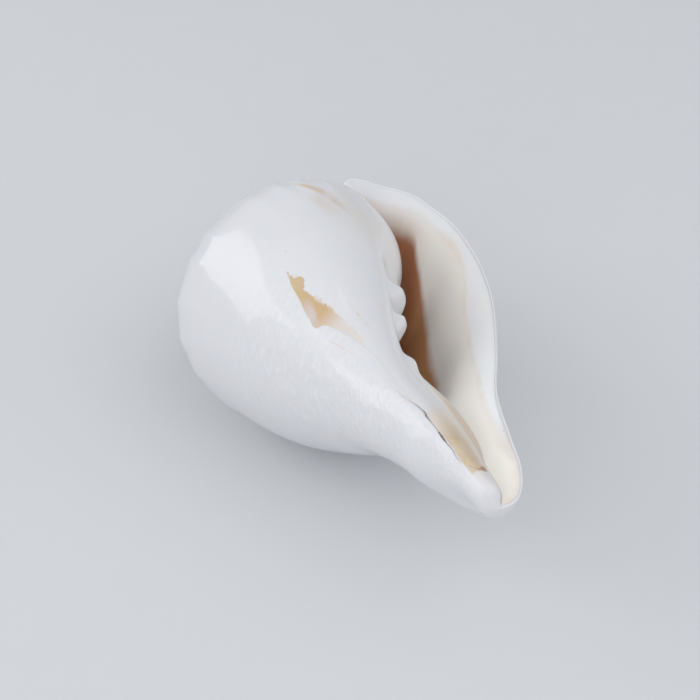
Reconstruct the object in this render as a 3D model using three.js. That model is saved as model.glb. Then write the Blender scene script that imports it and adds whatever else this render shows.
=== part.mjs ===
// Conch shell: a polished white chank shell, grown as one piece and modelled as one closed solid.
// Units are millimetres, +Z is up, and the shell lies on its back with its mouth up.
//
// The shell is described first in a frame of its own: z runs up the axis it coils round, from the
// tip of the canal at 0 to the point of the spire. Every place on it has two coordinates. back is
// the angle grown back from the edge of the lip, in radians: the last whorl takes the first turn,
// and what is older is the spire above the seam and the pillar inside the mouth. along counts the
// points of the outline, from the seam over the shoulder and the belly down to the tip.
import * as THREE from 'three';
import { mergeVertices } from 'three/addons/utils/BufferGeometryUtils.js';

const TURN = 2 * Math.PI;
const degrees = THREE.MathUtils.radToDeg;
const radians = THREE.MathUtils.degToRad;

// Driving dimensions
const LENGTH = 136;
const GROWTH = 1.58; // how much wider each turn is than the one before
const SHARE = 1 / GROWTH;
const SEAM = { radius: 22.3, depth: 15 }; // where the lip meets the whorl before it

// Outline of the lip's outer edge: radius from the axis, depth below the point of the spire, and
// the share of each that is left one turn further back
const OUTLINE = [
  [SEAM.radius, SEAM.depth, SHARE, SHARE],
  [31.2, 18.3, SHARE, SHARE],
  [SEAM.radius * GROWTH, SEAM.depth * GROWTH, SHARE, SHARE],
  [42.5, 34.8, SHARE, SHARE],
  [47.4, 46.1, SHARE, SHARE],
  [44.7, 61.1, SHARE, SHARE],
  [39.7, 77.2, SHARE, SHARE],
  [30.8, 93.8, SHARE, SHARE],
  [22.3, 107, 0.51, 0.69],
  [17.3, 119.4, 0.37, 0.735],
  [14.9, 126, 0.41, 0.85],
  [11.9, 130.5, 0.47, 0.92],
  [8.8, 133.4, 0.475, 0.95],
  [5.4, 135.2, 0.56, 0.985],
  [0, LENGTH, 0.6, 1],
];
const TIP = OUTLINE.length - 1; // along at the tip of the canal
const NEXT_SEAM = 2; // along where the next whorl is attached

// The lip draws in a little as it nears its edge, and rises to the seam at its upper end
const CURL = { share: 0.03, span: radians(110) };
const RISE = { height: 3.8, along: 1.1, half: 1.1, span: radians(60) };

// Angle of the lip's edge round the axis: constant, linear and square parts over the height, and
// the lead that its upper end takes
const LIP_ANGLE = { at: 70, parts: [-14.2, -21.7, 1.1].map(radians) };
const LEAD = { angle: radians(8), from: 95, over: 27 };

// The canal bends away from the axis below this height
const BEND = { x: 7, y: 12, from: 60, power: 3 };

// Folds wound round the pillar, with places and half widths along; they start on its front edge
const FOLDS = [
  { along: 6.5, half: 0.3, height: 0.6 },
  { along: 7.12, half: 0.42, height: 2.7 },
  { along: 7.92, half: 0.42, height: 2.6 },
  { along: 8.65, half: 0.4, height: 1.4 },
];
const FOLD_ONSET = { from: 325, over: 22 };
const FOLD_LOSS = { share: 0.45, from: 355, over: 20 };
const SWELLING = { along: 5.2, half: 1.2, height: 2.3, from: 318, over: 30, kept: 380, fade: 60 };

// Other raised and sunken forms, in places along and degrees back, each with its reach either way
const FORMS = [
  { along: 2.3, half: 1.7, back: 0, span: 60, height: 2.1 }, // shoulder of the lip
  { along: 4, half: 1.3, back: 0, span: 60, height: -1.7 }, // drawn-in corner of the lip
  { along: 3.2, half: 2.6, back: 205, span: 70, height: 1.4 }, // fullness of the belly
  { along: 8.9, half: 1.4, back: 120, span: 70, height: 0.9 }, // neck of the canal
  { along: 11.5, half: 2.3, back: 140, span: 85, height: -2.6 }, // back of the canal
  { along: 10.1, half: 2, back: 340, span: 22, height: 2.2 }, // crest of the inner lip
  { along: 10.7, half: 2.4, back: 290, span: 42, height: -1.1 }, // furrow beside the crest
];

// Step left by the canal's older edge: its height, where it rises, and the line where it drops
const STEP = { along: 10.4, half: 1.7, height: 1, from: 205, rise: 40 };
const STEP_EDGE = { back: 251, at: 9.5, slant: -9, drop: 5 };
const TIP_FADE = 1.5; // raised forms die out over this length along, before the tip

// The wall and the hollow inside it
const WALL = { thin: 2.2, thick: 4, lipExtra: 0.45, lipSpan: radians(50), shoulder: 4, canal: 6 };
// The lip is bevelled inside: the share of the thickness left at its edge, and where it is whole
const BEVEL = { share: 0.2, lead: 0.02, span: radians(34) };
const HOLLOW_TOP = 2.3; // along on the pillar where the hollow starts, under the seam
const HOLLOW_DEEP = radians(300); // how far back it is open
const HOLLOW_LOW = [[0, 12.8], [50, 11.3], [110, 9.4], [200, 8.2], [300, 7.6]]; // degrees back, along
const ROUNDING = { top: 0.8, low: 1.1 }; // lengths along over which wall and pillar run together
const LIP_BULGE = 0.45; // how far the rounded edge stands out, in wall thicknesses

// How the shell lies: directions in its own frame, and the depth of the flat it is worn to
const UP = new THREE.Vector3(-0.057, -0.975, -0.213).normalize();
const RIGHT = new THREE.Vector3(0.904, 0.04, -0.425).projectOnPlane(UP).normalize();
const FLAT_DEPTH = 1.1;

// Fineness
const ROWS = 60; // steps in a turn
const SPIRE_TURNS = 3.5;
const SPIRE_TOP = 1; // depth of the worn point of the spire
const SPIRE_STEPS = 4;
const BELLY_STEPS = 22;
const LIP_STEPS = 4;
const HOLLOW_ROWS = 30;
const STRIDE = 0.001; // small step along, to find the outline's direction
const AHEAD = -0.0001; // small step of growth past the lip
const HALVINGS = 30; // steps in the search for a depth
const WELD = 0.001; // points closer than this are one

function smooth(t) {
  return THREE.MathUtils.smoothstep(t, 0, 1);
}

function hill(value, middle, half) {
  return smooth(1 - Math.abs(value - middle) / half);
}

function stepsBetween(from, to, count) {
  return Array.from({ length: count + 1 }, (_, i) => from + ((to - from) * i) / count);
}

function roundSteps(from, to, count) {
  return stepsBetween(0, Math.PI, count).map((t) => from + ((to - from) * (1 - Math.cos(t))) / 2);
}

function folds(angle, along) {
  const onset = smooth((angle - FOLD_ONSET.from) / FOLD_ONSET.over);
  const loss = FOLD_LOSS.share * smooth((angle - FOLD_LOSS.from) / FOLD_LOSS.over);
  const height = FOLDS.reduce((sum, fold) => sum + fold.height * hill(along, fold.along, fold.half), 0);
  return height * onset * (1 - loss);
}

function swelling(angle, along) {
  const onset = smooth((angle - SWELLING.from) / SWELLING.over);
  const fading = Math.exp(-Math.max(angle - SWELLING.kept, 0) / SWELLING.fade);
  return SWELLING.height * hill(along, SWELLING.along, SWELLING.half) * onset * fading;
}

function canalStep(angle, along) {
  const edge = STEP_EDGE.back + STEP_EDGE.slant * (along - STEP_EDGE.at);
  const onset = smooth((angle - STEP.from) / STEP.rise) * smooth((edge - angle) / STEP_EDGE.drop);
  return STEP.height * hill(along, STEP.along, STEP.half) * onset;
}

// Height of all forms above the plain whorl
function relief(back, along) {
  const angle = degrees(back);
  const size = SHARE ** Math.max(back / TURN - 1, 0);
  let height = size * (folds(angle, along) + swelling(angle, along)) + canalStep(angle, along);
  for (const form of FORMS) {
    height += form.height * hill(along, form.along, form.half) * hill(angle, form.back, form.span);
  }
  return height * smooth((TIP - along) / TIP_FADE);
}

// Radius and depth of the outer face
function section(back, along) {
  const turns = back / TURN;
  const points = OUTLINE.map(
    ([radius, depth, radiusShare, depthShare]) =>
      new THREE.Vector2(radius * radiusShare ** turns, depth * depthShare ** turns),
  );
  const point = new THREE.SplineCurve(points).getPoint(along / TIP);
  const curl = CURL.share * (1 - smooth(back / CURL.span)) * smooth(along / TIP_FADE);
  const rise = RISE.height * (1 - smooth(back / RISE.span)) * hill(along, RISE.along, RISE.half);
  return new THREE.Vector2(point.x * (1 - curl) + relief(back, along), point.y - rise);
}

// Turns radius and depth into a point of the shell's own frame
function place(back, point) {
  const z = LENGTH - point.y;
  const q = (z - LIP_ANGLE.at) / LIP_ANGLE.at;
  const [constant, linear, square] = LIP_ANGLE.parts;
  const lead = LEAD.angle * smooth((z - LEAD.from) / LEAD.over);
  const angle = constant + linear * q + square * q * q - lead + back;
  const bend = (Math.max(BEND.from - z, 0) / BEND.from) ** BEND.power;
  return new THREE.Vector3(
    point.x * Math.cos(angle) + BEND.x * bend,
    point.x * Math.sin(angle) + BEND.y * bend,
    z,
  );
}

function face(back, along) {
  return place(back, section(back, along));
}

function hollowLow(back) {
  const angle = degrees(back);
  const next = Math.max(1, HOLLOW_LOW.findIndex(([limit]) => limit >= angle));
  const [angle0, along0] = HOLLOW_LOW[next - 1];
  const [angle1, along1] = HOLLOW_LOW[next];
  return THREE.MathUtils.mapLinear(angle, angle0, angle1, along0, along1);
}

function thickness(back, along) {
  const hump = smooth(along / WALL.shoulder) * smooth((TIP - along) / WALL.canal);
  const lip = 1 + WALL.lipExtra * (1 - smooth(back / WALL.lipSpan));
  const bevel = BEVEL.share + (1 - BEVEL.share) * smooth((back + BEVEL.lead) / BEVEL.span);
  return (WALL.thin + (WALL.thick - WALL.thin) * hump) * lip * bevel * SHARE ** (back / TURN);
}

// The outer face moved inward, square to the outline, by the wall's thickness
function underside(back, along) {
  const before = section(back, Math.max(along - STRIDE, 0));
  const after = section(back, along + STRIDE);
  const direction = after.sub(before).normalize();
  const depth = thickness(back, along);
  return section(back, along).add(new THREE.Vector2(-direction.y * depth, direction.x * depth));
}

// Place along on the pillar, one turn further back, at the depth where the hollow ends
function foot(back) {
  const depth = underside(back, hollowLow(back)).y;
  let high = NEXT_SEAM;
  let low = TIP;
  for (let halvings = 0; halvings < HALVINGS; halvings += 1) {
    const middle = (high + low) / 2;
    if (section(back + TURN, middle).y > depth) {
      low = middle;
    } else {
      high = middle;
    }
  }
  return (high + low) / 2;
}

// Inner face of the wall: it runs into the pillar at both ends
function wall(back, along, footAlong) {
  const end = hollowLow(back);
  const here = (along * end) / TIP;
  const point = underside(back, here);
  const top = section(back + TURN, HOLLOW_TOP).sub(point);
  const low = section(back + TURN, footAlong).sub(point);
  point.addScaledVector(top, 1 - smooth(here / ROUNDING.top));
  point.addScaledVector(low, 1 - smooth((end - here) / ROUNDING.low));
  return place(back, point);
}

// Collects triangles from grids and fans of points
class Surface {
  constructor() {
    this.positions = [];
    this.index = [];
  }

  add(points) {
    const first = this.positions.length / 3;
    for (const point of points) {
      this.positions.push(point.x, point.y, point.z);
    }
    return first;
  }

  triangle(a, b, c, flipped) {
    this.index.push(...(flipped ? [c, b, a] : [a, b, c]));
  }

  grid(rows, flipped) {
    const first = this.add(rows.flat());
    const width = rows[0].length;
    for (let i = 0; i < rows.length - 1; i += 1) {
      for (let j = 0; j < width - 1; j += 1) {
        const corner = first + i * width + j;
        this.triangle(corner, corner + width, corner + width + 1, flipped);
        this.triangle(corner, corner + width + 1, corner + 1, flipped);
      }
    }
  }

  fan(ring, centre, flipped) {
    const first = this.add([...ring, centre]);
    ring.forEach((_, i) => {
      this.triangle(first + i, first + ring.length, first + ((i + 1) % ring.length), flipped);
    });
  }

  // Joins points that coincide and drops the triangles that vanish
  geometry() {
    const loose = new THREE.BufferGeometry();
    loose.setAttribute('position', new THREE.Float32BufferAttribute(this.positions, 3));
    loose.setIndex(this.index);
    const merged = mergeVertices(loose, WELD);
    const corners = merged.index.array;
    const kept = [];
    for (let i = 0; i < corners.length; i += 3) {
      const [a, b, c] = corners.subarray(i, i + 3);
      if (a !== b && b !== c && c !== a) {
        kept.push(a, b, c);
      }
    }
    merged.setIndex(kept);
    return merged;
  }
}

// Rounded edge of the lip, from the outer face to the inner one; its ends lie on the pillar
function lipEdge(columns, inner, footAlong) {
  const outer = columns.map((along) => face(0, along));
  const topEnd = roundSteps(NEXT_SEAM, HOLLOW_TOP, LIP_STEPS);
  const lowEnd = roundSteps(TIP, footAlong, LIP_STEPS);
  return stepsBetween(0, Math.PI, LIP_STEPS).map((round, step) =>
    columns.map((along, column) => {
      if (column === 0) {
        return face(TURN, topEnd[step]);
      }
      if (column === columns.length - 1) {
        return face(TURN, lowEnd[step]);
      }
      const across = outer[column].clone().sub(inner[column]).divideScalar(2);
      const forward = place(AHEAD, section(0, along)).sub(outer[column]).normalize();
      const bulge = 2 * across.length() * LIP_BULGE * smooth(along) * smooth((TIP - along) / TIP_FADE);
      return outer[column]
        .clone()
        .sub(across)
        .addScaledVector(across, Math.cos(round))
        .addScaledVector(forward, bulge * Math.sin(round));
    }),
  );
}

function shellGeometry() {
  const surface = new Surface();
  const lipFoot = foot(0);
  const columns = [
    ...stepsBetween(0, NEXT_SEAM, SPIRE_STEPS),
    ...roundSteps(NEXT_SEAM, HOLLOW_TOP, LIP_STEPS).slice(1),
    ...stepsBetween(HOLLOW_TOP, lipFoot, BELLY_STEPS).slice(1),
    ...roundSteps(TIP, lipFoot, LIP_STEPS).reverse().slice(1),
  ];

  const lastWhorl = stepsBetween(0, TURN, ROWS).map((back) => columns.map((along) => face(back, along)));
  surface.grid(lastWhorl, true);

  const spireColumns = stepsBetween(0, NEXT_SEAM, SPIRE_STEPS);
  const spireRows = SPIRE_TURNS * ROWS;
  const spire = stepsBetween(TURN, TURN * (1 + SPIRE_TURNS), spireRows).map((back) =>
    spireColumns.map((along) => face(back, along)),
  );
  surface.grid(spire, true);
  const topSeam = spire.slice(spireRows - ROWS).map((row) => row[0]);
  const topRing = [...topSeam, ...spire[spireRows].slice(1)];
  surface.fan(topRing, new THREE.Vector3(0, 0, LENGTH - SPIRE_TOP), true);

  const hollowRows = stepsBetween(0, HOLLOW_DEEP, HOLLOW_ROWS).map((back) => {
    const footAlong = foot(back);
    return {
      wall: columns.map((along) => wall(back, along, footAlong)),
      pillar: stepsBetween(HOLLOW_TOP, footAlong, BELLY_STEPS).map((along) => face(back + TURN, along)),
    };
  });
  surface.grid(hollowRows.map((row) => row.wall), false);
  surface.grid(hollowRows.map((row) => row.pillar), true);
  surface.grid(lipEdge(columns, hollowRows[0].wall, lipFoot), false);

  const deep = hollowRows[HOLLOW_ROWS];
  const deepRing = [...deep.wall, ...deep.pillar.reverse().slice(1, -1)];
  const middle = new THREE.Vector3();
  deepRing.forEach((point) => middle.addScaledVector(point, 1 / deepRing.length));
  surface.fan(deepRing, middle, false);
  return surface.geometry();
}

// Lays the shell on its back, wears it to a small flat there and sets it on the ground
function layDown(geometry) {
  const forward = new THREE.Vector3().crossVectors(UP, RIGHT);
  const turned = new THREE.Matrix4().makeBasis(RIGHT, forward, UP).transpose();
  geometry.applyMatrix4(turned);
  geometry.computeBoundingBox();
  const middle = geometry.boundingBox.getCenter(new THREE.Vector3());
  const ground = geometry.boundingBox.min.z + FLAT_DEPTH;
  geometry.translate(-middle.x, -middle.y, -ground);
  const position = geometry.attributes.position;
  for (let i = 0; i < position.count; i += 1) {
    position.setZ(i, Math.max(position.getZ(i), 0));
  }
  geometry.computeVertexNormals();
  return geometry;
}

const nacre = new THREE.MeshStandardMaterial({ color: 0xdfddde, roughness: 0.28, metalness: 0 });
const shell = new THREE.Mesh(layDown(shellGeometry()), nacre);
shell.name = 'conch_shell';

const conch = new THREE.Group();
conch.add(shell);

export default conch;
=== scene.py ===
"""A polished white chank shell that lies on its back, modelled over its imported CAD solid.

Every place on the shell has two coordinates. back is the angle grown back from the edge of the lip:
the last whorl takes the first turn, and what is older is the spire above the seam and the pillar
inside the mouth. along counts the points of the outline, from the seam over the shoulder and the
belly down to the tip of the canal. Lengths in the tables are millimetres.
"""

import math

import bpy
import numpy as np
from bpy.props import FloatProperty, FloatVectorProperty, IntProperty, PointerProperty
from mathutils import Matrix, Vector


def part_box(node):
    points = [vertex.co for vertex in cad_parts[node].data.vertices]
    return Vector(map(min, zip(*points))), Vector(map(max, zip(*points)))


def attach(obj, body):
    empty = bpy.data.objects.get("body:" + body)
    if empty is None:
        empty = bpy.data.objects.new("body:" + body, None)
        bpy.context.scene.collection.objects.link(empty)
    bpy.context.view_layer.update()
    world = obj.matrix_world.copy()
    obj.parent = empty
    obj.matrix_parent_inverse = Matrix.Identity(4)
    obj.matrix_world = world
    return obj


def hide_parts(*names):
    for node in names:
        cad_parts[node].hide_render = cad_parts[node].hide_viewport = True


bl_info = {
    "name": "Conch shell",
    "version": (1, 0, 0),
    "blender": (4, 5, 0),
    "location": "3D View > Sidebar > Conch",
    "description": "Grows a polished white chank shell and sets it on a pale floor",
    "category": "Add Mesh",
}

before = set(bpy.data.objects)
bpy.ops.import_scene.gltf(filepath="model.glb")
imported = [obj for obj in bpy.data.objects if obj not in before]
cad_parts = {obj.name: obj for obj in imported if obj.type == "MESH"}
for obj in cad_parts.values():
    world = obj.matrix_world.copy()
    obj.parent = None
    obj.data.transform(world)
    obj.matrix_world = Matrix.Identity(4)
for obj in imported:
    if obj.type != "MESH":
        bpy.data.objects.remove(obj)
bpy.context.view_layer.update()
SHELL_LOW, SHELL_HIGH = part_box("conch_shell")

MM = 0.001
TURN = 2 * math.pi
LENGTH = 136.0
SEAM_RADIUS = 22.3
SEAM_DEPTH = 15.0

# Degrees of the lip's edge round the axis at mid height, their slope and their curve
LIP_TURN = (-14.2, -21.7, 1.1)
LIP_MIDDLE = 70.0
# Degrees by which the growth leads at the spire, and from what height and over what reach
SPIRE_LEAD = 8.0
SPIRE_START = 95.0
SPIRE_REACH = 27.0
# The canal bends by this much at its tip, from this height down
CANAL_BEND = (7.0, 12.0)
CANAL_HEIGHT = 60.0

# Other points of the lip's outer edge: radius from the axis, depth below the point of the spire,
# and the share of each that is left one turn further back
CANAL_OUTLINE = (
    (22.3, 107.0, 0.51, 0.69),
    (17.3, 119.4, 0.37, 0.735),
    (14.9, 126.0, 0.41, 0.85),
    (11.9, 130.5, 0.47, 0.92),
    (8.8, 133.4, 0.475, 0.95),
    (5.4, 135.2, 0.56, 0.985),
    (0.0, LENGTH, 0.6, 1.0),
)
BELLY_OUTLINE = (
    (42.5, 34.8),
    (47.4, 46.1),
    (44.7, 61.1),
    (39.7, 77.2),
    (30.8, 93.8),
)
TIP = 14
NEXT_SEAM = 2.0

# Folds on the pillar: along, half width, height
FOLDS = (
    (6.70, 0.34, -2.4),
    (7.25, 0.36, 3.6),
    (7.55, 0.20, -2.6),
    (7.85, 0.36, 3.6),
    (8.32, 0.26, -1.2),
    (8.93, 0.42, 2.2),
)
# Swelling of the pillar above the folds, and how it stands back below: along, half width, height
PILLAR_FORMS = (
    (5.35, 1.35, 2.5),
    (6.6, 3.6, -1.9),
)
# Broad forms: along, half width, degrees back, span, height
FORMS = (
    (2.3, 1.7, 0, 60, 2.1),
    (4.0, 1.3, 0, 60, -1.7),
    (3.2, 2.6, 205, 70, 1.4),
    (8.9, 1.4, 120, 70, 0.9),
    (11.5, 2.3, 140, 85, -2.6),
    (10.1, 2.0, 340, 22, 2.2),
    (10.7, 2.4, 290, 42, -1.1),
)
# Degrees back of the blunt corners that growth left round the shoulder
CORNERS = (0, 18, 35, 54, 71, 88, 107, 124, 142, 160, 178, 196, 214, 233.5, 248.5, 274, 289, 299,
           314.5, 333, 347, 360)
# Step at the edge of the canal's older growth: along, degrees back
STEP_EDGE = (
    (9.5, 244),
    (9.75, 249.5),
    (9.98, 251),
    (10.1, 247.3),
    (10.38, 246.3),
    (10.7, 242),
    (11.03, 241.3),
    (11.22, 238),
    (11.7, 235.5),
    (12.2, 231),
)
# How much thicker the wall is behind the lip
LIP_SWELL = 1.3
# Where the hollow ends: degrees back, along
HOLLOW_LOW = ((0, 13.55), (30, 12.7), (60, 11.3), (110, 9.4), (200, 8.2), (300, 7.6))
HOLLOW_TOP = 2.3
HOLLOW_DEEP = math.radians(300)

# Where the colours change, as points along and degrees back, or along and a share
PATCH_RANGE = (229.0, 40.0)
PATCH_LOWER = (
    (6.20, 253.0),
    (6.32, 252.52),
    (6.59, 248.72),
    (6.90, 244.4),
    (7.10, 240.6),
    (7.272, 237.92),
    (7.388, 235.6),
    (7.48, 241.0),
    (7.76, 246.6),
    (7.99, 250.0),
    (8.30, 253.0),
    (8.56, 255.0),
    (9.40, 249.0),
    (10.2, 247.0),
)
PATCH_UPPER = (
    (6.20, 251.4),
    (6.32, 252.68),
    (6.46, 254.2),
    (6.68, 256.6),
    (6.88, 253.0),
    (7.13, 255.4),
    (7.28, 256.6),
    (7.62, 257.4),
    (7.93, 259.4),
    (8.15, 258.6),
    (8.45, 258.2),
    (8.67, 259.4),
    (9.40, 257.8),
    (10.2, 257.0),
)
PATCH_FADE = (
    (6.2, 1.0),
    (7.4, 1.0),
    (7.72, 0.72),
    (8.04, 0.52),
    (8.4, 0.42),
    (8.68, 0.34),
    (9.4, 0.24),
    (10.2, 0.08),
)
CRACK_RANGE = (230.0, 30.0)
CRACK = (
    (9.5, 244.01),
    (9.621, 245.9),
    (9.731, 249.11),
    (9.852, 250.7),
    (9.9906, 251.0),
    (10.0764, 247.1),
    (10.2106, 247.25),
    (10.38, 246.29),
    (10.5406, 244.01),
    (10.71, 241.79),
    (10.8794, 240.89),
    (11.029, 241.25),
    (11.2204, 237.8),
    (11.7, 235.4),
)
CRACK_WIDTH = (
    (9.5, 0.25),
    (9.72, 1.05),
    (9.984, 1.55),
    (10.094, 1.65),
    (10.204, 0.85),
    (10.446, 1.0),
    (10.556, 2.0),
    (10.666, 2.125),
    (10.776, 1.375),
    (10.908, 0.875),
    (11.26, 0.75),
    (11.7, 0.25),
)
# How dark the crack is along its length: its own brown and the painted shadow in its gap
CRACK_BROWN_AND_SHADOW = (
    (9.5, 0.3),
    (9.72, 0.45),
    (9.94, 0.75),
    (10.094, 0.85),
    (10.226, 0.45),
    (10.424, 0.55),
    (10.534, 1.0),
    (10.71, 1.0),
    (10.82, 0.75),
    (11.26, 0.6),
    (11.7, 0.25),
)
WHITE_BAND = (
    (2.0, 6.9),
    (2.44, 5.5),
    (2.88, 4.5),
    (3.632, 4.6),
    (4.448, 3.7),
    (4.832, 6.4),
    (5.24, 11.5),
    (5.752, 15.8),
    (6.48, 14.2),
    (7.072, 9.9),
    (7.66, 5.8),
    (8.16, 4.0),
    (8.552, 2.9),
    (9.688, 2.4),
    (10.0, 1.2),
)
BAND_SOFTNESS = ((2.0, 9.0), (2.96, 8.1), (3.76, 4.05), (4.56, 2.7), (6.0, 3.15), (7.6, 6.3), (10.0, 2.25))
# Painted edge of the shadow that the pillar casts into the hollow, where the amber begins: along, degrees
# deep
AMBER_SHADOW_EDGE = (
    (2.0, 18.0),
    (2.48, 16.5),
    (2.64, 15.0),
    (2.82, 15.3),
    (3.048, 19.8),
    (3.272, 25.68),
    (3.792, 36.6),
    (4.688, 43.5),
    (5.472, 47.82),
    (6.12, 46.8),
    (6.72, 45.0),
    (7.52, 52.8),
    (10.0, 60.0),
)
# Faint streaks: slope and start of a straight line, middle and half its length in degrees back
STREAKS = ((0.026, -1.244, 318.0, 9.0), (0.022, 1.018, 305.0, 8.0))

# Colours of the small marks, the floor's grain and the light all round
WARM_WHITE = (0.72, 0.713, 0.745)
GROWTH_CREAM = (0.74, 0.69, 0.64)
# Whiteness of the striae, partly their own tone and partly painted glints
STRIAE_GLINT_WHITE = (0.80, 0.81, 0.84)
PATCH_TIP = (0.57, 0.385, 0.185)
PATCH_OCHRE = (0.55, 0.33, 0.13)
PATCH_PINK = (0.60, 0.49, 0.45)
PATCH_TAIL = (0.68, 0.565, 0.47)
PATCH_LINE = (0.70, 0.60, 0.50)
PATCH_DOTS = (0.64, 0.53, 0.37)
CANAL_WASH = (0.69, 0.64, 0.58)
FURROW_START = (0.67, 0.54, 0.40)
# Painted shade of the canal's inside, laid on the strip beside the furrow
RIDGE_PAINTED_SHADE = (0.56, 0.44, 0.325)
CRACK_RIM = (0.77, 0.76, 0.77)
RUST = (0.34, 0.16, 0.06)
# Painted shade in the mouth: beige and amber darkened under the seam, and brown darkening deeper in over the
# inside's own amber
SHADED_SEAM_BEIGE = (0.64, 0.525, 0.425)
SHADED_SEAM_AMBER = (0.26, 0.06, 0.01)
DEEP_BROWN_AND_SHADE = (0.20, 0.07, 0.025)
LIP_WHITE = (0.95, 0.96, 0.99)
LIP_CREAM = (0.77, 0.72, 0.695)
LIP_EDGE = (0.74, 0.73, 0.75)
BAND_THREAD = (0.86, 0.71, 0.57)
STAIN = (0.64, 0.49, 0.35)
STAIN_WASH = (0.72, 0.67, 0.62)
STREAK = (0.78, 0.66, 0.53)
FLOOR_GRAIN = (0.62, 0.63, 0.655)
SKY = (0.86, 0.93, 1.0)

# How the shell lies: directions in its own frame
UP = Vector((-0.057, -0.975, -0.213)).normalized()
RIGHT = Vector((0.904, 0.04, -0.425))
FLAT_DEPTH = 1.1

CAMERA_PLACE = (-0.0291 * MM, -368.37 * MM, 418.32 * MM)
CAMERA_AIM = (-0.19 * MM, 6.29 * MM, 43.47 * MM)
CAMERA_LENS = 100.03
CAMERA_SHIFT = (9.3 / 700, -18.6 / 700)

# Softboxes, in metres and watts: place, width, height, power
SOFTBOXES = {
    "softbox left": ((-0.851, 0.104, 0.55), 0.80, 0.62, 2.7),
    "softbox high": ((-0.286, -0.165, 1.19), 1.5, 1.5, 2.2),
    "softbox front": ((-0.34, -0.86, 0.90), 1.3, 1.3, 4.7),
    "softbox right": ((0.70, -0.255, 1.10), 1.3, 1.3, 6.3),
}
LIGHT_AIM = (0.0, 0.0, 0.035)
SKY_STRENGTH = 0.36
FLOOR_SIZE = 6.0
VIEW_GAMMA = 1.35


class ConchSizes(bpy.types.PropertyGroup):
    """Sizes of the shell"""

    growth: FloatProperty(
        name="Growth",
        description="How much wider each turn is than the one before",
        default=1.58,
        min=1.3,
        max=2.0,
    )
    lip_rise: FloatProperty(
        name="Lip rise",
        description="How far the lip climbs to the seam at its upper end",
        default=3.8 * MM,
        unit="LENGTH",
        subtype="DISTANCE",
    )
    wall_thin: FloatProperty(
        name="Thin wall",
        description="Thickness of the wall at the seam and the canal",
        default=2.2 * MM,
        unit="LENGTH",
        subtype="DISTANCE",
    )
    wall_thick: FloatProperty(
        name="Thick wall",
        description="Thickness of the wall at the belly",
        default=4.0 * MM,
        unit="LENGTH",
        subtype="DISTANCE",
    )
    corner_height: FloatProperty(
        name="Growth corners",
        description="Height of the blunt corners round the shoulder",
        default=0.75 * MM,
        unit="LENGTH",
        subtype="DISTANCE",
    )
    step_height: FloatProperty(
        name="Canal step",
        description="Height of the step left by the canal's older edge",
        default=1.0 * MM,
        unit="LENGTH",
        subtype="DISTANCE",
    )
    spire_turns: IntProperty(
        name="Spire turns",
        description="Turns of the spire above the last whorl",
        default=5,
        min=3,
        max=7,
    )


class ConchColours(bpy.types.PropertyGroup):
    """Colours of the shell and the floor"""

    porcelain: FloatVectorProperty(
        name="Porcelain",
        description="Polished outer face and lip",
        default=(0.70, 0.71, 0.757),
        subtype="COLOR",
    )
    cream: FloatVectorProperty(
        name="Cream",
        description="Worn patch, furrow and older growth",
        default=(0.54, 0.38, 0.21),
        subtype="COLOR",
    )
    beige: FloatVectorProperty(
        name="Beige",
        description="Inside of the mouth",
        default=(0.96, 0.90, 0.82),
        subtype="COLOR",
    )
    # Amber of the deep inside: partly its own colour, partly painted shade in the hollow
    amber_and_shade: FloatVectorProperty(
        name="Amber",
        description="Deep inside of the hollow",
        default=(0.48, 0.195, 0.08),
        subtype="COLOR",
    )
    # Umber of cracks and pits; in the crack it also paints the shadow in the gap
    umber: FloatVectorProperty(
        name="Umber",
        description="Cracks and pits",
        default=(0.10, 0.055, 0.03),
        subtype="COLOR",
    )
    floor: FloatVectorProperty(
        name="Floor",
        description="Pale floor",
        default=(0.58, 0.59, 0.615),
        subtype="COLOR",
    )


def smooth(value):
    value = np.clip(value, 0, 1)
    return value * value * (3 - 2 * value)


def hill(value, middle, half):
    return smooth(1 - np.abs(value - middle) / half)


def round_steps(start, end, count):
    turns = np.linspace(0, math.pi, count + 1)
    return start + (end - start) * (1 - np.cos(turns)) / 2


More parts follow.
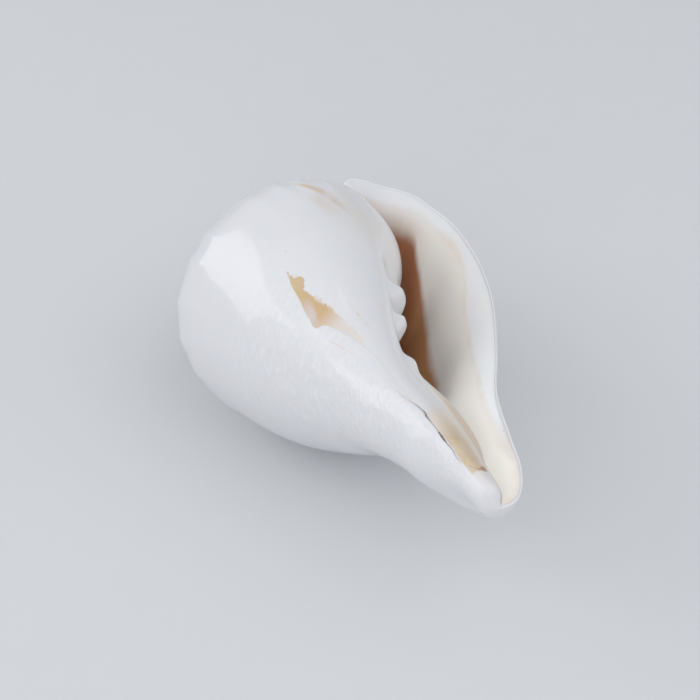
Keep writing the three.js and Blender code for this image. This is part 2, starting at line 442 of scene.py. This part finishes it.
class Growth:
    """The shell's faces as functions of back and along, in its own frame, in millimetres."""

    def __init__(self, sizes):
        self.sizes = sizes
        self.share = 1 / sizes.growth
        share = self.share
        seam = (SEAM_RADIUS, SEAM_DEPTH)
        belly = [seam, (31.2, 18.3), (seam[0] * sizes.growth, seam[1] * sizes.growth), *BELLY_OUTLINE]
        points = [(radius, depth, share, share) for radius, depth in belly] + list(CANAL_OUTLINE)
        self.radius, self.depth, self.radius_share, self.depth_share = np.array(points).T

    def outline(self, back, along):
        back, along = np.broadcast_arrays(back, along)
        first = np.clip(np.floor(along).astype(int), 0, TIP - 1)
        t = along - first
        turns = back / TURN
        found = []
        for values, shares in ((self.radius, self.radius_share), (self.depth, self.depth_share)):
            p0, p1, p2, p3 = (
                values[i] * shares[i] ** turns
                for i in (np.maximum(first - 1, 0), first, first + 1, np.minimum(first + 2, TIP))
            )
            m1 = (p2 - p0) / 2
            m2 = (p3 - p1) / 2
            cubic = (2 * p1 - 2 * p2 + m1 + m2) * t**3
            found.append(cubic + (-3 * p1 + 3 * p2 - 2 * m1 - m2) * t**2 + m1 * t + p1)
        return found

    def folds(self, angle, along):
        height = sum(rise * hill(along, middle, half) for middle, half, rise in FOLDS)
        return height * smooth((angle - 325) / 22) * (1 - 0.45 * smooth((angle - 355) / 20))

    def swelling(self, angle, along):
        fading = np.exp(-np.maximum(angle - 380, 0) / 60)
        height = sum(rise * hill(along, middle, half) for middle, half, rise in PILLAR_FORMS)
        return height * smooth((angle - 318) / 30) * fading

    def step(self, angle, along):
        ragged = 0.7 * np.sin(along * 23) + 0.4 * np.sin(along * 47 + 1)
        edge = np.interp(along, *zip(*STEP_EDGE)) + ragged
        onset = smooth((angle - 205) / 40) * smooth((edge - angle) / 2.5)
        return self.sizes.step_height / MM * hill(along, 10.4, 1.7) * onset

    def corners(self, angle, along):
        places = np.array(CORNERS, float)
        here = np.mod(angle, 360)
        i = np.clip(np.searchsorted(places, here, side="right") - 1, 0, len(places) - 2)
        part = (here - places[i]) / (places[i + 1] - places[i])
        height = self.sizes.corner_height / MM * hill(along, 2.6, 2.9)
        return height * (0.6 - np.sin(math.pi * part))

    def relief(self, back, along, plain):
        angle = np.degrees(back)
        size = self.share ** np.maximum(back / TURN - 1, 0)
        height = size * (self.folds(angle, along) + self.swelling(angle, along)) + self.step(angle, along)
        for middle, half, place, span, rise in FORMS:
            height = height + rise * hill(along, middle, half) * hill(angle, place, span)
        if not plain:
            height = height + self.corners(angle, along) * smooth(angle / 8) * smooth((358 - angle) / 8)
        return height * smooth((TIP - along) / 1.5)

    def section(self, back, along, plain=False):
        """Radius and depth of the outer face; plain leaves out the corners of growth."""
        radius, depth = self.outline(back, along)
        curl = 0.03 * (1 - smooth(back / math.radians(110))) * smooth(along / 1.5)
        rise = self.sizes.lip_rise / MM * (1 - smooth(back / math.radians(60))) * hill(along, 1.1, 1.1)
        return radius * (1 - curl) + self.relief(back, along, plain), depth - rise

    def place(self, back, radius, depth):
        height = LENGTH - depth
        rise = (height - LIP_MIDDLE) / LIP_MIDDLE
        lead = SPIRE_LEAD * smooth((height - SPIRE_START) / SPIRE_REACH)
        start, slope, curve = LIP_TURN
        angle = np.radians(start + slope * rise + curve * rise * rise - lead) + back
        bend = (np.maximum(CANAL_HEIGHT - height, 0) / CANAL_HEIGHT) ** 3
        x = radius * np.cos(angle) + CANAL_BEND[0] * bend
        y = radius * np.sin(angle) + CANAL_BEND[1] * bend
        return np.stack([x, y, height], axis=-1)

    def face(self, back, along):
        return self.place(back, *self.section(back, along))

    def hollow_low(self, back):
        return np.interp(np.degrees(back), *zip(*HOLLOW_LOW))

    def thickness(self, back, along):
        thin = self.sizes.wall_thin / MM
        thick = self.sizes.wall_thick / MM
        hump = smooth(along / 4) * smooth((TIP - along) / 6)
        lip = 1 + LIP_SWELL * (1 - smooth((back - math.radians(50)) / math.radians(80)))
        rest = 1 - np.clip((back + 0.01) / math.radians(42), 0, 1)
        lip = lip * (0.05 + 0.95 * (1 - rest * rest))
        return (thin + (thick - thin) * hump) * lip * self.share ** (back / TURN)

    def underside(self, back, along):
        stride = 0.001
        radius, depth = self.section(back, along, plain=True)
        radius1, depth1 = self.section(back, along + stride, plain=True)
        radius0, depth0 = self.section(back, np.maximum(along - stride, 0), plain=True)
        across = radius1 - radius0
        down = depth1 - depth0
        inward = self.thickness(back, along) / np.hypot(across, down)
        return radius - down * inward, depth + across * inward

    def foot(self, back):
        depth = self.underside(back, self.hollow_low(back))[1]
        high = np.full_like(depth, NEXT_SEAM)
        low = np.full_like(depth, float(TIP))
        for _ in range(30):
            middle = (high + low) / 2
            deeper = self.section(back + TURN, middle)[1] > depth
            low = np.where(deeper, middle, low)
            high = np.where(deeper, high, middle)
        return (high + low) / 2

    def wall(self, back, here, foot):
        end = self.hollow_low(back)
        radius, depth = self.underside(back, here)
        radius_top, depth_top = self.section(back + TURN, HOLLOW_TOP + 0 * here)
        radius_low, depth_low = self.section(back + TURN, foot)
        top = 1 - smooth(here / 0.8)
        low = 1 - smooth((end - here) / 1.1)
        radius = radius + (radius_top - radius) * top + (radius_low - radius) * low
        depth = depth + (depth_top - depth) * top + (depth_low - depth) * low
        return self.place(back, radius, depth)


def add_sheet(name, back, along, points, depth, wall):
    """Adds a grid and lays its points on one face of the shell."""
    rows, columns = back.shape
    bpy.ops.object.select_all(action="DESELECT")
    bpy.ops.mesh.primitive_grid_add(x_subdivisions=columns - 1, y_subdivisions=rows - 1, size=1)
    sheet = bpy.context.object
    sheet.name = name
    mesh = sheet.data
    count = len(mesh.vertices)
    flat = np.empty(count * 3)
    mesh.vertices.foreach_get("co", flat)
    flat = flat.reshape(-1, 3)
    column = np.rint((flat[:, 0] + 0.5) * (columns - 1)).astype(int)
    row = np.rint((flat[:, 1] + 0.5) * (rows - 1)).astype(int)
    mesh.vertices.foreach_set("co", np.ascontiguousarray(points[row, column]).ravel() * MM)
    corner = np.empty(len(mesh.loops), int)
    mesh.loops.foreach_get("vertex_index", corner)
    growth_map = mesh.uv_layers[0]
    growth_map.name = "Growth"
    places = np.stack([back[row, column] / TURN, along[row, column] / TIP], axis=-1)[corner]
    growth_map.data.foreach_set("uv", places.ravel())
    for key, values in (("hollow", depth), ("wall", wall)):
        layer = mesh.attributes.new(key, "FLOAT", "POINT")
        layer.data.foreach_set("value", np.broadcast_to(values, back.shape)[row, column].astype(np.float32))
    mesh.update()
    return sheet


def lip_edge(growth, columns, outer, inner, foot, steps):
    """Rounded edge of the lip, from the outer face to the inner one; its ends lie on the pillar."""
    ahead = growth.place(np.full_like(columns, -0.0001), *growth.section(np.zeros_like(columns), columns))
    forward = ahead - outer
    forward = forward / np.linalg.norm(forward, axis=1, keepdims=True).clip(1e-12)
    across = (outer - inner) / 2
    width = np.linalg.norm(across, axis=1) * 2
    bulge = (width * 0.45 * smooth(columns) * smooth((TIP - columns) / 1.5))[:, None]
    turns = np.linspace(0, math.pi, steps + 1)[:, None, None]
    edge = outer - across + across * np.cos(turns) + forward * bulge * np.sin(turns)
    edge[:, 0] = growth.face(np.full(steps + 1, TURN), round_steps(NEXT_SEAM, HOLLOW_TOP, steps))
    edge[:, -1] = growth.face(np.full(steps + 1, TURN), round_steps(TIP, foot, steps))
    return edge


def shell_sheets(growth, turns):
    """Adds the five faces of the shell as separate grids."""
    edge_steps = 6
    foot = float(growth.foot(np.zeros(1))[0])
    columns = np.concatenate([
        np.linspace(0, NEXT_SEAM, 13),
        round_steps(NEXT_SEAM, HOLLOW_TOP, edge_steps)[1:],
        np.linspace(HOLLOW_TOP, 6.2, 37)[1:],
        np.linspace(6.2, 9.1, 41)[1:],
        np.linspace(9.1, foot, 41)[1:],
        round_steps(TIP, foot, edge_steps)[::-1][1:],
    ])
    turn = np.radians(np.concatenate([
        np.linspace(0, 228, 121),
        np.linspace(228, 258, 49)[1:],
        np.linspace(258, 318, 37)[1:],
        np.linspace(318, 360, 35)[1:],
    ]))
    whorl_back, whorl_along = np.meshgrid(turn, columns, indexing="ij")
    outer = growth.face(whorl_back, whorl_along)
    sheets = [add_sheet("last whorl", whorl_back, whorl_along, outer, 0, 0)]

    spire_turn = np.concatenate([[TURN], *[turn[1:] + TURN * (1 + n) for n in range(turns)]])
    back, along = np.meshgrid(spire_turn, columns[:13], indexing="ij")
    sheets.append(add_sheet("spire", back, along, growth.face(back, along), 0, 0))

    deep = np.linspace(0, 1, 141) ** 1.25 * HOLLOW_DEEP
    feet = growth.foot(deep)
    back, along = np.meshgrid(deep, columns, indexing="ij")
    here = along * growth.hollow_low(back) / TIP
    inner = growth.wall(back, here, feet[:, None] + 0 * along)
    sheets.append(add_sheet("inner wall", back, here, inner, back / TURN, 1))

    share = (columns[18:-edge_steps] - HOLLOW_TOP) / (foot - HOLLOW_TOP)
    back, share = np.meshgrid(deep, share, indexing="ij")
    along = HOLLOW_TOP + (feet[:, None] - HOLLOW_TOP) * share
    pillar = growth.face(back + TURN, along)
    sheets.append(add_sheet("pillar", back + TURN, along, pillar, back / TURN, 0))

    edge = lip_edge(growth, columns, outer[0], inner[0], foot, edge_steps)
    back, along = np.meshgrid(np.zeros(edge_steps + 1), columns, indexing="ij")
    sheets.append(add_sheet("lip edge", back, along, edge, 0, np.linspace(0, 1, edge_steps + 1)[:, None]))
    return sheets


def select_only(piece):
    bpy.ops.object.select_all(action="DESELECT")
    piece.select_set(True)
    bpy.context.view_layer.objects.active = piece


def weld_sheets(sheets, name):
    """Joins the sheets, welds their edges and closes the point of the spire and the deep end."""
    bpy.ops.object.select_all(action="DESELECT")
    for sheet in sheets:
        sheet.select_set(True)
    bpy.context.view_layer.objects.active = sheets[0]
    bpy.ops.object.join()
    shell = bpy.context.object
    shell.name = name
    shell.data.name = name
    bpy.ops.object.mode_set(mode="EDIT")
    bpy.ops.mesh.select_mode(type="VERT")
    bpy.ops.mesh.select_all(action="SELECT")
    bpy.ops.mesh.remove_doubles(threshold=0.02 * MM)
    bpy.ops.mesh.dissolve_degenerate(threshold=0.01 * MM)
    bpy.ops.mesh.select_all(action="SELECT")
    bpy.ops.mesh.fill_holes(sides=0)
    bpy.ops.mesh.select_mode(type="FACE")
    bpy.ops.mesh.select_face_by_sides(number=8, type="GREATER", extend=False)
    bpy.ops.mesh.poke(offset=0.0)
    bpy.ops.mesh.select_all(action="SELECT")
    bpy.ops.mesh.normals_make_consistent(inside=False)
    bpy.ops.object.mode_set(mode="OBJECT")
    return shell


def lay_down(shell):
    """Lays the shell on its back where the CAD solid lies, and wears a small flat there."""
    right = (RIGHT - UP * RIGHT.dot(UP)).normalized()
    turned = Matrix((right, UP.cross(right), UP))
    mesh = shell.data
    flat = np.empty(len(mesh.vertices) * 3)
    mesh.vertices.foreach_get("co", flat)
    points = flat.reshape(-1, 3) @ np.array(turned).T
    low = points.min(axis=0)
    high = points.max(axis=0)
    middle = (np.array(SHELL_LOW) + np.array(SHELL_HIGH)) / 2
    shift = middle - (low + high) / 2
    shift[2] = SHELL_LOW.z - low[2] - FLAT_DEPTH * MM
    points = points + shift
    points[:, 2] = points[:, 2].clip(SHELL_LOW.z)
    mesh.vertices.foreach_set("co", points.ravel())
    mesh.update()


class Graph:
    """Adds and wires the nodes of one material."""

    def __init__(self, name):
        self.material = bpy.data.materials.new(name)
        self.material.use_nodes = True
        self.tree = self.material.node_tree
        self.tree.nodes.clear()

    def add(self, kind, inputs=None, **settings):
        node = self.tree.nodes.new(kind)
        for key, value in settings.items():
            setattr(node, key, value)
        for key, value in (inputs or {}).items():
            self.put(node, key, value)
        return node

    def put(self, node, key, value):
        if isinstance(value, bpy.types.NodeSocket):
            self.tree.links.new(value, node.inputs[key])
        elif isinstance(value, tuple) and len(node.inputs[key].default_value) > len(value):
            node.inputs[key].default_value = (*value, 1.0)
        else:
            node.inputs[key].default_value = value

    def math(self, operation, first, second=0.0, clamp=False):
        node = self.add("ShaderNodeMath", {0: first, 1: second}, operation=operation, use_clamp=clamp)
        return node.outputs[0]

    def plus(self, first, second):
        return self.math("ADD", first, second)

    def minus(self, first, second):
        return self.math("SUBTRACT", first, second)

    def times(self, first, *others):
        for other in others:
            first = self.math("MULTIPLY", first, other)
        return first

    def past(self, value, other, slope, start):
        """How far value lies past the straight line start + slope * other."""
        return self.minus(value, self.plus(self.times(other, slope), start))

    def band(self, value, start, end, low=0.0, high=1.0, kind="SMOOTHSTEP"):
        inputs = {0: value, 1: start, 2: end, 3: low, 4: high}
        return self.add("ShaderNodeMapRange", inputs, interpolation_type=kind).outputs[0]

    def hill(self, value, middle, half):
        away = self.math("ABSOLUTE", self.minus(value, middle))
        return self.band(away, half, 0.0)

    def mix(self, factor, first, second):
        node = self.add("ShaderNodeMix", data_type="RGBA", clamp_factor=True)
        self.put(node, 0, factor)
        self.put(node, 6, first)
        self.put(node, 7, second)
        return node.outputs[2]

    def noise(self, vector, scale, detail=2.0, roughness=0.5):
        inputs = {"Vector": vector, "Scale": scale, "Detail": detail, "Roughness": roughness}
        return self.add("ShaderNodeTexNoise", inputs).outputs[0]

    def line(self, value, points, base=0.0, span=1.0):
        """A smooth line through points, whose heights lie between base and base + span."""
        start = points[0][0]
        reach = points[-1][0] - start
        value = self.math("DIVIDE", self.minus(value, start), reach, clamp=True)
        node = self.add("ShaderNodeFloatCurve", {"Value": value})
        curve = node.mapping.curves[0]
        places = [((place - start) / reach, (height - base) / span) for place, height in points]
        for end, place in zip(curve.points, (places[0], places[-1])):
            end.location = place
        for place in places[1:-1]:
            curve.points.new(*place)
        node.mapping.update()
        return self.plus(self.times(node.outputs[0], span), base)


class ShellSurface:
    """Colours and fine relief of the polished shell, laid out by back and along."""

    def __init__(self, colours):
        self.colours = colours
        self.graph = graph = Graph("polished shell")
        self.place = graph.add("ShaderNodeTexCoord").outputs["Object"]
        growth = graph.add("ShaderNodeUVMap", uv_map="Growth").outputs[0]
        split = graph.add("ShaderNodeSeparateXYZ", {0: growth})
        self.back = graph.times(split.outputs[0], 360.0)
        self.along = graph.times(split.outputs[1], float(TIP))
        hollow = graph.add("ShaderNodeAttribute", attribute_name="hollow").outputs["Fac"]
        self.deep = graph.times(hollow, 360.0)
        self.wall = graph.add("ShaderNodeAttribute", attribute_name="wall").outputs["Fac"]
        self.outside = graph.band(graph.plus(self.wall, hollow), 0.0, 0.02, 1.0, 0.0)
        self.rag = graph.noise(self.place, 900.0, 3.0, 0.6)
        self.wander = graph.noise(self.place, 160.0, 3.0, 0.55)
        self.cloud = graph.noise(self.place, 38.0, 3.0, 0.5)
        self.fine_rag = graph.minus(self.rag, 0.5)
        self.broad_rag = graph.minus(self.wander, 0.5)
        self.growth_lines = self.drawn_noise(0.55, 0.25, 4.0, 0.6)
        self.striae = self.drawn_noise(0.10, 14.0, 2.0, 0.5)

    def drawn_noise(self, by_back, by_along, detail, roughness):
        """Noise that is drawn out along the growth."""
        inputs = {0: self.graph.times(self.back, by_back), 1: self.graph.times(self.along, by_along)}
        drawn = self.graph.add("ShaderNodeCombineXYZ", inputs)
        return self.graph.noise(drawn.outputs[0], 1.0, detail, roughness)

    def porcelain(self):
        graph = self.graph
        mottle = graph.plus(self.cloud, graph.times(self.growth_lines, 0.5))
        tint = graph.band(mottle, 0.35, 1.2, kind="LINEAR")
        colour = graph.mix(tint, tuple(self.colours.porcelain), WARM_WHITE)
        lines = graph.band(self.growth_lines, 0.2, 0.9, 0.0, 0.14, "LINEAR")
        return graph.mix(lines, colour, GROWTH_CREAM)

    def worn_patch(self, colour):
        """Worn patch on the belly: sharp along its lower edge, ragged and soft along the upper one."""
        graph, back, along = self.graph, self.back, self.along
        lower = graph.line(along, PATCH_LOWER, *PATCH_RANGE)
        upper = graph.line(along, PATCH_UPPER, *PATCH_RANGE)
        above_lower = graph.plus(graph.minus(back, lower), graph.times(self.broad_rag, 2.5))
        fringe = graph.plus(graph.times(self.broad_rag, 9.0), graph.times(self.fine_rag, 9.0))
        below_upper = graph.plus(graph.minus(upper, back), fringe)
        soft = graph.band(along, 6.7, 7.3, 0.8, 4.0)
        patch = graph.times(graph.band(above_lower, -0.3, 0.7), graph.band(below_upper, -0.5, soft))
        self.patch = graph.times(patch, self.outside, graph.band(along, 6.26, 6.34))
        worn = graph.mix(graph.band(along, 6.6, 7.0), PATCH_TIP, PATCH_OCHRE)
        pink = graph.times(graph.hill(along, 7.22, 0.34), graph.band(above_lower, 9.0, 4.0))
        worn = graph.mix(pink, worn, PATCH_PINK)
        worn = graph.mix(graph.band(along, 7.3, 7.7), worn, PATCH_TAIL)
        fade = graph.line(along, PATCH_FADE)
        colour = graph.mix(graph.times(self.patch, fade), colour, worn)

        below = graph.hill(graph.past(back, along, 8.0, 172.0), 0.0, 1.6)
        below = graph.times(below, graph.hill(along, 7.93, 0.45), self.outside, 0.8)
        colour = graph.mix(below, colour, PATCH_LINE)
        dots = graph.hill(graph.past(back, along, 8.0, 210.2), 0.0, 2.2)
        dots = graph.times(dots, graph.hill(along, 7.75, 0.4), self.outside, graph.band(self.rag, 0.47, 0.56))
        return graph.mix(graph.times(dots, 0.9), colour, PATCH_DOTS)

    def canal(self, colour):
        """Furrow, painted shade on the ridge beside it, the crack along its older edge with painted shadow in
        its gap, and the rusty line at its end.
        """
        graph, back, along = self.graph, self.back, self.along
        wash = graph.times(graph.hill(along, 10.7, 2.2), graph.hill(back, 305.0, 60.0), self.outside, 0.8)
        colour = graph.mix(wash, colour, CANAL_WASH)

        from_edge = graph.minus(back, graph.line(along, CRACK, *CRACK_RANGE))
        furrow = graph.times(graph.band(from_edge, 0.0, 6.0), graph.band(back, 330.0, 280.0))
        furrow = graph.times(furrow, graph.band(along, 9.8, 10.3), graph.band(along, 12.25, 12.05, 0.22, 1.0))
        furrow = graph.times(furrow, self.outside, graph.band(along, 13.2, 12.4))
        self.furrow = graph.times(furrow, graph.band(self.wander, 0.25, 0.6, 0.7, 1.0))
        cream = graph.mix(graph.band(along, 10.2, 10.7), FURROW_START, tuple(self.colours.cream))
        colour = graph.mix(self.furrow, colour, cream)

        # Painted shade: the canal's inside shade laid on the strip of the pillar beside the furrow
        ridge_shade = graph.plus(back, graph.times(graph.minus(along, 10.5), 7.0))
        ridge_shade = graph.times(graph.band(ridge_shade, 317.0, 325.0), graph.band(along, 8.8, 10.2))
        ridge_shade = graph.times(ridge_shade, self.outside, graph.band(along, 13.8, 13.5))
        colour = graph.mix(ridge_shade, colour, RIDGE_PAINTED_SHADE)

        rim = graph.times(graph.band(from_edge, -5.0, -2.0), graph.band(from_edge, -0.5, -1.5))
        rim = graph.times(rim, self.outside, graph.hill(along, 10.5, 1.2), 0.6)
        colour = graph.mix(rim, colour, CRACK_RIM)
        # The crack's dark line is partly its own brown and partly painted shadow in the gap under the older
        # edge
        crack = graph.math("ABSOLUTE", graph.plus(from_edge, graph.times(self.fine_rag, 3.0)))
        crack = graph.minus(crack, graph.line(along, CRACK_WIDTH, 0.0, 2.5))
        crack = graph.times(graph.band(crack, 0.35, -0.35), self.outside)
        self.crack = graph.times(crack, graph.band(along, 9.55, 9.7), graph.band(along, 11.7, 11.4))
        crack_brown_and_shadow = graph.line(along, CRACK_BROWN_AND_SHADOW)
        colour = graph.mix(graph.times(self.crack, crack_brown_and_shadow), colour, tuple(self.colours.umber))

        end = graph.plus(graph.band(back, 240.0, 266.0, 11.78, 12.12), graph.times(self.broad_rag, 0.12))
        rust = graph.math("ABSOLUTE", graph.minus(along, end))
        rust = graph.band(graph.minus(rust, graph.band(back, 262.0, 292.0, 0.02, 0.09)), 0.05, -0.01)
        rust = graph.times(rust, graph.band(back, 240.0, 250.0), graph.band(back, 306.0, 298.0))
        rust = graph.times(rust, self.outside, graph.band(back, 250.0, 290.0, 0.45, 1.0))
        return graph.mix(rust, colour, RUST)

    def mouth(self, colour):
        """Inside of the mouth: a white band behind the lip, then beige, then amber in the depth; the darker
        beige and amber under the seam, the pillar's shadow edge and the brown deeper in are painted shade.
        """
        graph, along, deep, wall = self.graph, self.along, self.deep, self.wall
        rough = graph.times(self.broad_rag, 3.0)
        past_band = graph.minus(deep, graph.plus(graph.line(along, WHITE_BAND, 0.0, 40.0), rough))
        soft = graph.line(along, BAND_SOFTNESS, 0.0, 9.0)
        on_wall = graph.times(graph.band(past_band, -1.5, soft), wall)
        on_pillar = graph.times(graph.band(deep, 18.0, 60.0), graph.minus(1.0, wall))
        inside = graph.math("MAXIMUM", on_wall, on_pillar)

        # Beige and amber darken towards the seam as painted shade under the shoulder
        beige = graph.mix(graph.band(along, 2.2, 3.6), SHADED_SEAM_BEIGE, tuple(self.colours.beige))
        amber_and_shade = graph.mix(graph.band(along, 2.9, 3.8), SHADED_SEAM_AMBER, tuple(self.colours.amber_and_shade))
        # Amber starts at the painted edge of the pillar's shadow and turns brown deeper in: partly the
        # inside's own colour, partly painted shade
        past_shadow_edge = graph.minus(deep, graph.plus(graph.line(along, AMBER_SHADOW_EDGE, 0.0, 60.0), rough))
        depth = graph.mix(graph.band(past_shadow_edge, -4.0, 5.0), beige, amber_and_shade)
        depth = graph.mix(graph.band(past_shadow_edge, 3.0, 30.0), depth, DEEP_BROWN_AND_SHADE)

        lip = graph.mix(graph.band(along, 8.0, 9.3), LIP_WHITE, LIP_CREAM)
        lip = graph.mix(graph.hill(wall, 0.45, 0.5), lip, LIP_EDGE)
        colour = graph.mix(wall, colour, lip)
        colour = graph.mix(inside, colour, depth)
        thread = graph.times(graph.hill(past_band, 1.5, 3.5), wall)
        thread = graph.times(thread, graph.band(self.wander, 0.35, 0.65, 0.15, 0.5))
        return graph.mix(thread, colour, BAND_THREAD)

    def stains(self, colour):
        """Stains at the top of the body, a creamy wash below them and faint streaks by the folds."""
        graph, back, along = self.graph, self.back, self.along
        wedge = graph.math("ABSOLUTE", graph.past(along, back, 0.066, -15.37))
        wedge = graph.minus(wedge, graph.band(back, 295.0, 310.0, 0.04, 0.32))
        wedge = graph.times(graph.band(wedge, 0.14, -0.12), graph.band(back, 293.0, 296.0))
        wedge = graph.times(wedge, graph.band(back, 315.0, 305.0), 1.3)
        smudge = graph.times(graph.hill(along, 5.12, 0.6), graph.hill(back, 300.0, 8.0), 0.75)
        stain = graph.times(graph.math("MAXIMUM", wedge, smudge), self.outside)
        stain = graph.times(stain, graph.band(self.wander, 0.3, 0.6, 0.35, 1.1))
        colour = graph.mix(stain, colour, STAIN)

        wash = graph.times(graph.hill(along, 5.5, 1.7), graph.hill(back, 324.0, 36.0))
        wash = graph.times(wash, self.outside, graph.band(self.wander, 0.3, 0.7, 0.4, 1.0))
        colour = graph.mix(wash, colour, STAIN_WASH)
        for slope, start, middle, half in STREAKS:
            streak = graph.hill(graph.past(along, back, slope, start), 0.0, 0.14)
            streak = graph.times(streak, graph.hill(back, middle, half), self.outside, 0.55)
            colour = graph.mix(streak, colour, STREAK)
        return colour

    def pits(self, colour):
        graph = self.graph
        cells = graph.add("ShaderNodeTexVoronoi", {"Vector": self.place, "Scale": 95.0}, feature="F1")
        self.pit = graph.band(cells.outputs["Distance"], 0.022, 0.008)
        return graph.mix(graph.times(self.pit, 0.6), colour, tuple(self.colours.umber))

    def strokes(self, colour):
        """Fine white striae round the belly and the neck, their whiteness partly their own and partly painted
        glints, and the relief of all that is fine.
        """
        graph, back, along = self.graph, self.back, self.along
        belt = graph.times(graph.band(along, 5.0, 6.8), graph.band(along, 12.5, 11.0))
        belt = graph.times(belt, graph.band(back, 110.0, 160.0), graph.band(back, 262.0, 238.0))
        belt = graph.times(belt, graph.band(self.cloud, 0.3, 0.6, 0.5, 1.0), graph.minus(1.0, self.patch))
        # Striae whitened partly in their own tone and partly as painted glints
        strokes = graph.times(graph.band(self.striae, 0.5, 0.66), belt, 0.45)
        height = graph.times(self.striae, graph.band(belt, 0.0, 1.0, 0.6, 6.0))
        height = graph.plus(height, graph.times(self.growth_lines, 0.5))
        height = graph.minus(height, graph.times(self.crack, 6.0))
        self.height = graph.minus(height, graph.times(self.pit, 2.0))
        return graph.mix(strokes, colour, STRIAE_GLINT_WHITE)

    def material(self):
        graph = self.graph
        colour = self.porcelain()
        for layer in (self.worn_patch, self.canal, self.mouth, self.stains, self.pits, self.strokes):
            colour = layer(colour)
        bump = graph.add("ShaderNodeBump", {"Strength": 0.45, "Distance": 0.2 * MM, "Height": self.height})
        rough = graph.band(self.cloud, 0.3, 0.7, 0.30, 0.38)
        rough = graph.plus(rough, graph.times(graph.math("MAXIMUM", self.patch, self.furrow), 0.12))
        shader = graph.add("ShaderNodeBsdfPrincipled", {
            "Base Color": colour,
            "Roughness": rough,
            "Normal": bump.outputs[0],
            "IOR": 1.53,
            "Subsurface Weight": 0.35,
            "Subsurface Radius": (1.0, 0.75, 0.5),
            "Subsurface Scale": 4 * MM,
            "Coat Weight": 0.8,
            "Coat Roughness": 0.06,
        })
        output = graph.add("ShaderNodeOutputMaterial")
        graph.tree.links.new(shader.outputs[0], output.inputs[0])
        return graph.material


class CONCH_OT_shell(bpy.types.Operator):
    """Grow the shell in place of its CAD solid"""

    bl_idname = "conch.shell"
    bl_label = "Grow shell"

    def execute(self, context):
        growth = Growth(context.scene.conch_sizes)
        sheets = shell_sheets(growth, context.scene.conch_sizes.spire_turns)
        shell = weld_sheets(sheets, "polished_shell")
        lay_down(shell)
        select_only(shell)
        bpy.ops.object.shade_smooth()
        shell.data.materials.append(ShellSurface(context.scene.conch_colours).material())
        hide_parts("conch_shell")
        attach(shell, "root")
        print("shell triangles", sum(len(face.vertices) - 2 for face in shell.data.polygons))
        return {"FINISHED"}


def turn_towards(thing, place, aim):
    direction = Vector(aim) - Vector(place)
    thing.rotation_euler = direction.to_track_quat("-Z", "Y").to_euler()


def add_softbox(name, place, width, height, power):
    bpy.ops.object.light_add(type="AREA", location=place)
    lamp = bpy.context.object
    lamp.name = name
    lamp.data.shape = "RECTANGLE"
    lamp.data.size = width
    lamp.data.size_y = height
    lamp.data.energy = power
    turn_towards(lamp, place, LIGHT_AIM)


def floor_material(colours):
    graph = Graph("pale floor")
    place = graph.add("ShaderNodeTexCoord").outputs["Object"]
    grain = graph.noise(place, 60.0, 3.0)
    colour = graph.mix(graph.math("MULTIPLY", grain, 0.3), tuple(colours.floor), FLOOR_GRAIN)
    shader = graph.add("ShaderNodeBsdfPrincipled", {"Base Color": colour, "Roughness": 0.8})
    output = graph.add("ShaderNodeOutputMaterial")
    graph.tree.links.new(shader.outputs[0], output.inputs[0])
    return graph.material


class CONCH_OT_stage(bpy.types.Operator):
    """Set up the floor, the lights and the camera"""

    bl_idname = "conch.stage"
    bl_label = "Set stage"

    def execute(self, context):
        bpy.ops.object.select_all(action="DESELECT")
        bpy.ops.mesh.primitive_plane_add(size=FLOOR_SIZE)
        floor = bpy.context.object
        floor.name = "pale_floor"
        floor.data.materials.append(floor_material(context.scene.conch_colours))

        for name, (place, width, height, power) in SOFTBOXES.items():
            add_softbox(name, place, width, height, power)

        world = bpy.data.worlds.new("soft studio")
        context.scene.world = world
        world.use_nodes = True
        sky = world.node_tree.nodes["Background"]
        sky.inputs["Color"].default_value = (*SKY, 1.0)
        sky.inputs["Strength"].default_value = SKY_STRENGTH

        bpy.ops.object.camera_add(location=CAMERA_PLACE)
        camera = bpy.context.object
        turn_towards(camera, CAMERA_PLACE, CAMERA_AIM)
        camera.data.lens = CAMERA_LENS
        camera.data.sensor_width = 36.0
        camera.data.shift_x, camera.data.shift_y = CAMERA_SHIFT
        camera.data.clip_start = 0.01
        context.scene.camera = camera
        context.scene.view_settings.view_transform = "Standard"
        context.scene.view_settings.gamma = VIEW_GAMMA
        return {"FINISHED"}


class CONCH_PT_panel(bpy.types.Panel):
    """Buttons and sizes of the conch shell"""

    bl_label = "Conch shell"
    bl_space_type = "VIEW_3D"
    bl_region_type = "UI"
    bl_category = "Conch"

    def draw(self, context):
        layout = self.layout
        for group in (context.scene.conch_sizes, context.scene.conch_colours):
            column = layout.column()
            for key in group.__annotations__:
                column.prop(group, key)
        layout.operator(CONCH_OT_shell.bl_idname)
        layout.operator(CONCH_OT_stage.bl_idname)


CLASSES = (ConchSizes, ConchColours, CONCH_OT_shell, CONCH_OT_stage, CONCH_PT_panel)


def register():
    for kind in CLASSES:
        bpy.utils.register_class(kind)
    bpy.types.Scene.conch_sizes = PointerProperty(type=ConchSizes)
    bpy.types.Scene.conch_colours = PointerProperty(type=ConchColours)


def unregister():
    del bpy.types.Scene.conch_colours
    del bpy.types.Scene.conch_sizes
    for kind in reversed(CLASSES):
        bpy.utils.unregister_class(kind)


def main():
    register()
    bpy.ops.conch.shell()
    bpy.ops.conch.stage()


if __name__ == "__main__":
    main()
